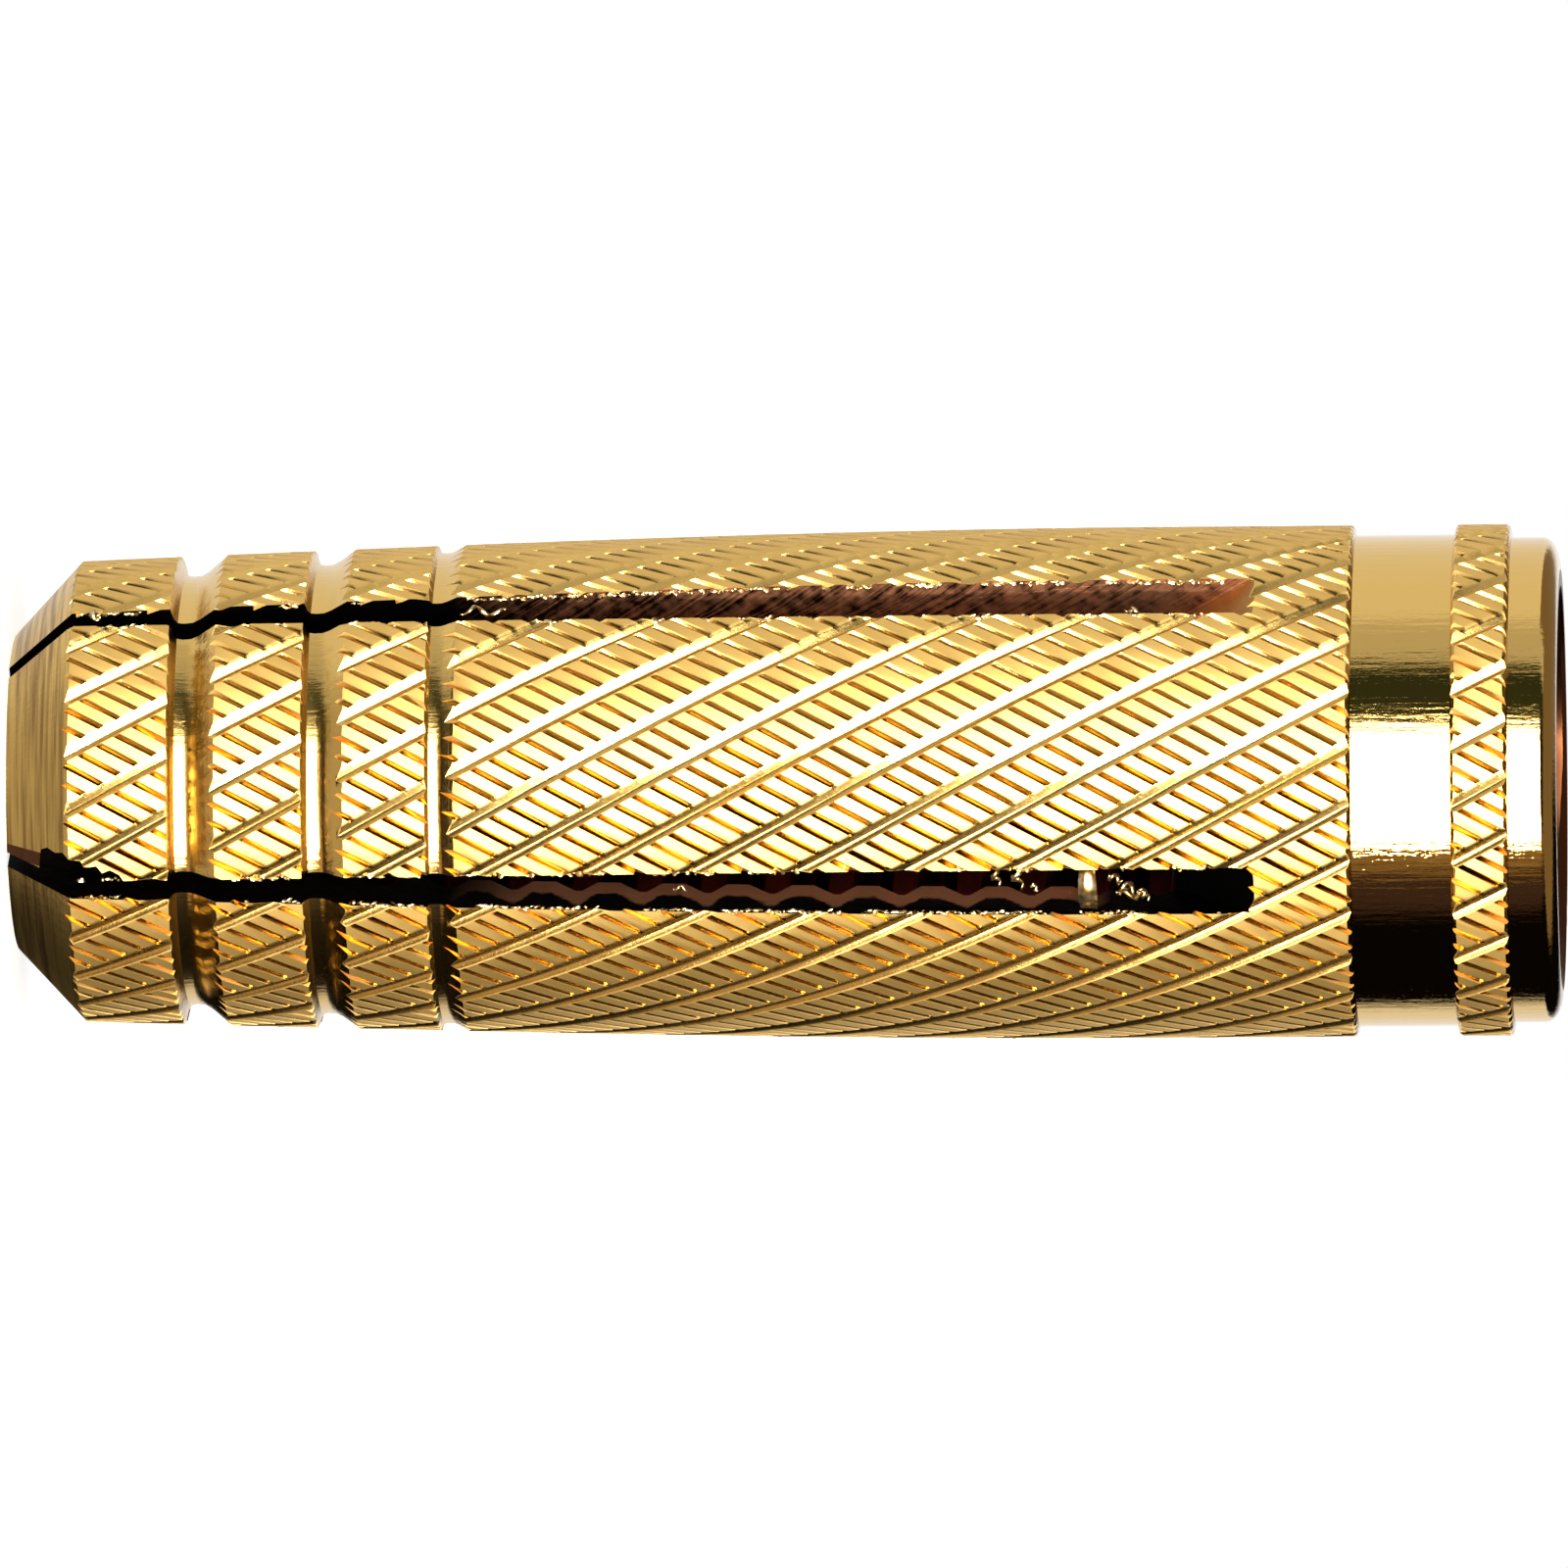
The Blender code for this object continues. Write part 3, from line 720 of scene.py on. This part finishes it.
def growPiece(name, tree, inputs, angles=(), plain=()):
    # Runs a node tree on an empty mesh with its inputs set, and keeps the result as a plain mesh
    host = addObject(name, bpy.data.meshes.new(name))
    grower = host.modifiers.new("grow", "NODES")
    grower.node_group = tree
    for item in tree.interface.items_tree:
        if item.in_out == "INPUT" and item.name in inputs:
            value = inputs[item.name]
            if isinstance(value, float) and item.name not in plain:
                value = math.radians(value) if item.name in angles else value * mm
            grower[item.identifier] = value
    bpy.context.view_layer.update()
    seen = host.evaluated_get(bpy.context.evaluated_depsgraph_get())
    grown = bpy.data.meshes.new_from_object(seen)
    host.modifiers.remove(grower)
    for slot in reversed([index for index, finish in enumerate(grown.materials) if finish is None]):
        grown.materials.pop(index=slot)  # an empty slot comes with the mesh nodes
    host.data = grown
    grown.name = name
    return host


def makeSleeve():
    tools = (makeTurnings(), makeDrill(), makeTap(), makeSaw(), makeTear())
    anchor = growPiece("knurled_sleeve", growSleeveTree(*tools), sleeve, sleeveAngles)
    for tool in tools:
        bpy.data.objects.remove(tool, do_unlink=True)
    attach(anchor, "root")
    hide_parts("anchor_sleeve")
    return anchor


anchor = makeSleeve()
print("sleeve made:", sum(len(face.vertices) - 2 for face in anchor.data.polygons), "triangles")


# Burrs along the slots' lips

burrs = {"Spacing": 0.06, "Size": 0.042, "Jitter": 0.035, "Share": 0.47, "Seed": 11}
crumbShape = {  # shares of the size, and turns in radians
    "leastStretch": (0.3, 0.3, 0.5), "mostStretch": (1.3, 1.3, 2.2),
    "leastSpin": (-0.5, -0.5, -3.1), "mostSpin": (0.5, 0.5, 3.1), "clumpScale": 0.9,
}
lips = {"low": 1.5, "high": 23.7, "step": 0.15, "inset": 0.10, "grooveMargin": 0.1}


def leafPlace(slot, side, outwards, height):
    # A point of the saw cut's edge after its leaf is bent: side is across the slot, outwards from the axis
    outward, sideways = slotDirections(slot)
    leafOutward = slotDirections(slot, math.copysign(math.pi / saw["slots"], side))[0]
    share = min(1.0, max(0.0, (sleeve["Free Height"] - height) / sleeve["Free Height"]))
    inward = leafOutward * -0.5 * sleeve["Squeeze"] * share ** 2 * (3 - share)
    return (outward * outwards + sideways * side + inward + Vector((0, 0, height))) * mm


def makeLips():
    # The edges that the burrs stand on, left open at the turned grooves
    edge, margin = blank["bodyRadius"] - lips["inset"], lips["grooveMargin"]
    grooves = [(start - margin, start + width + margin) for start, width, _ in blank["grooves"]]
    mesh = bmesh.new()
    for slot in range(saw["slots"]):
        for side in (-saw["width"] / 2, saw["width"] / 2):
            before = None
            for step in range(round((lips["high"] - lips["low"]) / lips["step"])):
                height = lips["low"] + step * lips["step"]
                inGroove = any(start < height < end for start, end in grooves)
                point = None if inGroove else mesh.verts.new(leafPlace(slot, side, edge, height))
                if before and point:
                    mesh.edges.new((before, point))
                before = point
    return addBuilt("lips", mesh, solid=False)


def growBurrTree(edges):
    tree, add, given = startTree("slotBurrs", burrs)
    shape = crumbShape
    lines = add("GeometryNodeObjectInfo", {"Object": edges}).outputs["Geometry"]
    curves = add("GeometryNodeMeshToCurve", {"Mesh": lines})
    points = add("GeometryNodeCurveToPoints", {"Curve": curves, "Length": given["Spacing"]}, mode="LENGTH")
    back = add("ShaderNodeMath", (given["Jitter"], -1.0), operation="MULTIPLY")
    least = add("ShaderNodeCombineXYZ", (back, back, back))
    most = add("ShaderNodeCombineXYZ", (given["Jitter"], given["Jitter"], given["Jitter"]))
    shift = add("FunctionNodeRandomValue", {0: least, 1: most, "Seed": given["Seed"]}, data_type="FLOAT_VECTOR")
    moved = add("GeometryNodeSetPosition", {"Geometry": points, "Offset": shift.outputs[0]})
    place = add("GeometryNodeInputPosition")
    clump = add("ShaderNodeTexNoise", {"Vector": place, "Scale": shape["clumpScale"] / mm, "Detail": 3.0})
    kept = add("FunctionNodeCompare", (clump, given["Share"]), operation="GREATER_THAN")
    crumb = add("GeometryNodeMeshIcoSphere", {"Radius": given["Size"], "Subdivisions": 1})
    stretch = add("FunctionNodeRandomValue", {0: shape["leastStretch"], 1: shape["mostStretch"],
        "Seed": given["Seed"]}, data_type="FLOAT_VECTOR")
    spin = add("FunctionNodeRandomValue", {0: shape["leastSpin"], 1: shape["mostSpin"], "Seed": given["Seed"]},
        data_type="FLOAT_VECTOR")
    placed = add("GeometryNodeInstanceOnPoints", {"Points": moved, "Selection": kept, "Instance": crumb,
        "Rotation": spin.outputs[0], "Scale": stretch.outputs[0]})
    real = add("GeometryNodeRealizeInstances", {"Geometry": placed})
    finished = add("GeometryNodeSetMaterial", {"Geometry": real, "Material": tornBrass})
    add("NodeGroupOutput", {0: finished})
    return tree


def makeBurrs():
    edges = makeLips()
    crumbs = growPiece("slot_burrs", growBurrTree(edges), burrs, plain=("Share",))
    bpy.data.objects.remove(edges, do_unlink=True)
    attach(crumbs, "root")
    return crumbs


crumbs = makeBurrs()
print("burrs made:", len(crumbs.data.polygons), "triangles")


# Swarf caught in the slots

swarf = {
    "thickness": 0.03, "stepsPerTurn": 30,
    "tightening": 0.4,  # share of the radius that a curl of more than one turn loses
    "wobble": (0.06, 1.7), "twist": (0.35, 1.3),  # how much, and how often a turn
    "taper": (0.55, 0.45),  # share of the width at the ends, and what the middle has more
    # slot, height, distance from the axis, place across the slot,
    # then the curl's radius, turns and advance, the ribbon's width, and the curl's lean in degrees
    "chips": (
        (4, 20.98, 4.40, 0.00, 0.56, 0.5, 0.06, 0.36, 90.0),
        (4, 21.50, 4.52, -0.10, 0.10, 1.6, 0.30, 0.07, 60.0),
        (4, 21.75, 4.58, 0.10, 0.16, 1.3, 0.42, 0.08, 70.0),
        (4, 22.05, 4.50, 0.26, 0.08, 1.8, 0.25, 0.07, 35.0),
        (4, 21.80, 4.40, 0.30, 0.10, 1.4, 0.50, 0.16, 86.0),
        (4, 19.20, 4.66, -0.22, 0.09, 1.4, 0.35, 0.12, 15.0),
        (4, 19.62, 4.70, -0.20, 0.12, 1.2, 0.40, 0.14, 10.0),
        (4, 19.95, 4.66, 0.02, 0.05, 1.7, 0.20, 0.06, 30.0),
        (4, 13.10, 4.40, 0.10, 0.06, 1.2, 0.25, 0.06, 80.0),
        (3, 21.85, 4.84, 0.30, 0.07, 1.3, 0.25, 0.12, 75.0),
        (3, 9.30, 4.78, 0.12, 0.10, 1.6, 0.85, 0.10, 84.0),
        (3, 1.75, 4.60, -0.02, 0.08, 1.3, 0.20, 0.12, 40.0),
        (0, 15.40, 4.50, 0.08, 0.13, 1.7, 0.50, 0.12, 70.0),
        (1, 18.20, 4.55, -0.10, 0.12, 1.4, 0.40, 0.14, 15.0),
        (2, 12.60, 4.50, 0.12, 0.14, 1.6, 0.45, 0.10, 50.0),
    ),
}


def makeSwarf():
    # Each chip is a thin ribbon that curls up as the saw or the tap peels it off
    (wobble, wobbles), (twist, twists), (atEnd, inMiddle) = swarf["wobble"], swarf["twist"], swarf["taper"]
    mesh = bmesh.new()
    for number, (slot, height, outwards, side, coil, turns, advance, width, lean) in enumerate(swarf["chips"]):
        outward, sideways = slotDirections(slot)
        upward = Vector((0, 0, 1))
        tip = math.radians(lean)
        axis = sideways * math.cos(tip) + upward * math.sin(tip)
        beside = upward * math.cos(tip) - sideways * math.sin(tip)
        centre = outward * outwards + sideways * side + upward * height
        steps = round(turns * swarf["stepsPerTurn"])
        before = None
        for step in range(steps + 1):
            share = step / steps
            angle = 2 * math.pi * turns * share + number
            curl = 1.0 - (swarf["tightening"] * share if turns > 1 else 0.0)
            radius = coil * curl * (1 + wobble * math.sin(wobbles * angle))
            spoke = beside * math.cos(angle) + outward * math.sin(angle)
            middle = centre + axis * advance * (share - 0.5) + spoke * radius
            narrow = atEnd + inMiddle * math.sin(math.pi * share)
            half = (axis + beside * twist * math.sin(twists * angle)) * width / 2 * narrow
            thick = spoke * swarf["thickness"] / 2
            ring = [mesh.verts.new(corner * mm) for corner in (middle - half - thick, middle + half - thick,
                                                               middle + half + thick, middle - half + thick)]
            if before:
                joinRings(mesh, before, ring)
            else:
                mesh.faces.new(ring)
            before = ring
        mesh.faces.new(before)
    chips = addBuilt("swarf", mesh)
    chips.data.shade_smooth()
    chips.data.materials.append(tornBrass)
    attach(chips, "root")
    return chips


chips = makeSwarf()
print("swarf made:", len(swarf["chips"]), "chips")


# Table, studio and lamps

studio = {
    "tableSize": 1400.0, "tableGlow": 0.78, "roomLight": 0.7, "roomWhite": 1.0,
    "cardDistance": 200.0, "cardHeight": 15, "cardFacet": 6, "cardWeld": 0.01,  # the facets in degrees
    # each card's angles round the camera's direction, its lowest and highest angle, its colour and its strength
    "cards": (
        ("softbox", -23, 23, -26, 28, "#FFFFFF", 17.0),
        ("edgeLamp", -26, -23, -26, 28, "#FFFFFF", 160.0),
        ("cardDark", 28, 56, -62, 50, "#505A48", 0.5),
        ("cardGrey", 56, 80, -62, 50, "#FFFFFF", 0.70),
        ("cardBrown", -44, -27, -26, 50, "#907860", 1.0),
        ("cardWine", -64, -44, -26, 50, "#44353A", 1.0),
        ("cardSoot", -70, -64, -26, 50, "#0A0806", 1.0),
        ("cardAmber", -70, 28, -40, -26, "#A89070", 1.8),
        ("cardBlack", -131, -70, -62, 50, "#0A0806", 1.0),
        ("cardUnder", -180, -131, -62, -12, "#0A0806", 1.0),
        ("cardOver", -180, -131, 12, 50, "#0A0806", 1.0),
        ("cardBack", 80, 180, 18, 50, "#8A7A68", 1.0),
        ("cardHigh", -27, 28, 30, 50, "#2A2018", 1.0),
        ("cardLow", -70, 28, -62, -40, "#2A2018", 1.0),
        ("cardCeiling", -180, 180, 50, 90, "#8A7A68", 1.0),
        ("cardFloor", -180, 180, -90, -62, "#CFC8BC", 1.0),
    ),
}


def makeTable():
    half = studio["tableSize"] / 2 * mm
    mesh = bpy.data.meshes.new("table")
    mesh.from_pydata([(-half, -half, 0), (half, -half, 0), (half, half, 0), (-half, half, 0)], [], [(0, 1, 2, 3)])
    table = addObject("table", mesh)
    # Matt white laminate: white by its own colour in the picture, and it keeps the sleeve's shadow
    made, add = startMaterial("whiteLaminate")
    paths = add("ShaderNodeLightPath")
    matt = add("ShaderNodeBsdfDiffuse", {"Color": colours["laminate"]})
    glow = add("ShaderNodeEmission", {"Color": (1, 1, 1, 1), "Strength": studio["tableGlow"]})
    both = add("ShaderNodeAddShader", (matt, glow))
    chosen = add("ShaderNodeMixShader", (paths.outputs["Is Camera Ray"], matt, both))
    add("ShaderNodeOutputMaterial", {"Surface": chosen})
    mesh.materials.append(made)
    table.visible_glossy = False


def makeCards():
    # Curved paper cards, a softbox and a narrow lamp, stood round the sleeve; only reflections see them
    centre = Vector((0, 0, studio["cardHeight"]))
    for name, start, end, low, high, colour, strength in studio["cards"]:
        mesh = bmesh.new()
        across, upward = (math.ceil(angle / studio["cardFacet"]) for angle in (end - start, high - low))
        columns = []
        for step in range(across + 1):
            turn = math.radians(camera["azimuth"] - (start + (end - start) * step / across))
            lifts = [math.radians(low + (high - low) * row / upward) for row in range(upward + 1)]
            columns.append([mesh.verts.new((direction(turn, lift) * studio["cardDistance"] + centre) * mm)
                            for lift in lifts])
        for left, right in zip(columns, columns[1:]):
            for row in range(upward):
                mesh.faces.new((left[row], right[row], right[row + 1], left[row + 1]))
        bmesh.ops.remove_doubles(mesh, verts=mesh.verts, dist=studio["cardWeld"] * mm)
        card = addBuilt(name, mesh, solid=False)
        made, add = startMaterial(name + "Paper")
        glow = add("ShaderNodeEmission", {"Color": linear(colour), "Strength": strength})
        add("ShaderNodeOutputMaterial", {"Surface": glow})
        card.data.materials.append(made)
        card.visible_camera = card.visible_diffuse = card.visible_shadow = False


def makeWorld():
    # White room: full white where it is seen directly or in the metal, softer as light on the table
    world = bpy.data.worlds.new("whiteRoom")
    scene.world = world
    world.use_nodes = True
    world.node_tree.nodes.clear()
    add = partial(addNode, world.node_tree)
    paths = add("ShaderNodeLightPath")
    seen = add("ShaderNodeMath", (paths.outputs["Is Camera Ray"], paths.outputs["Is Glossy Ray"]),
        operation="MAXIMUM")
    shown = add("ShaderNodeMath", (seen, paths.outputs["Is Transmission Ray"]), operation="MAXIMUM")
    soft = add("ShaderNodeBackground", {"Color": (1, 1, 1, 1), "Strength": studio["roomLight"]})
    white = add("ShaderNodeBackground", {"Color": (1, 1, 1, 1), "Strength": studio["roomWhite"]})
    mixed = add("ShaderNodeMixShader", (shown, soft, white))
    add("ShaderNodeOutputWorld", {"Surface": mixed})


makeTable()
makeCards()
makeWorld()
scene.view_settings.view_transform = "Standard"
print("studio set")
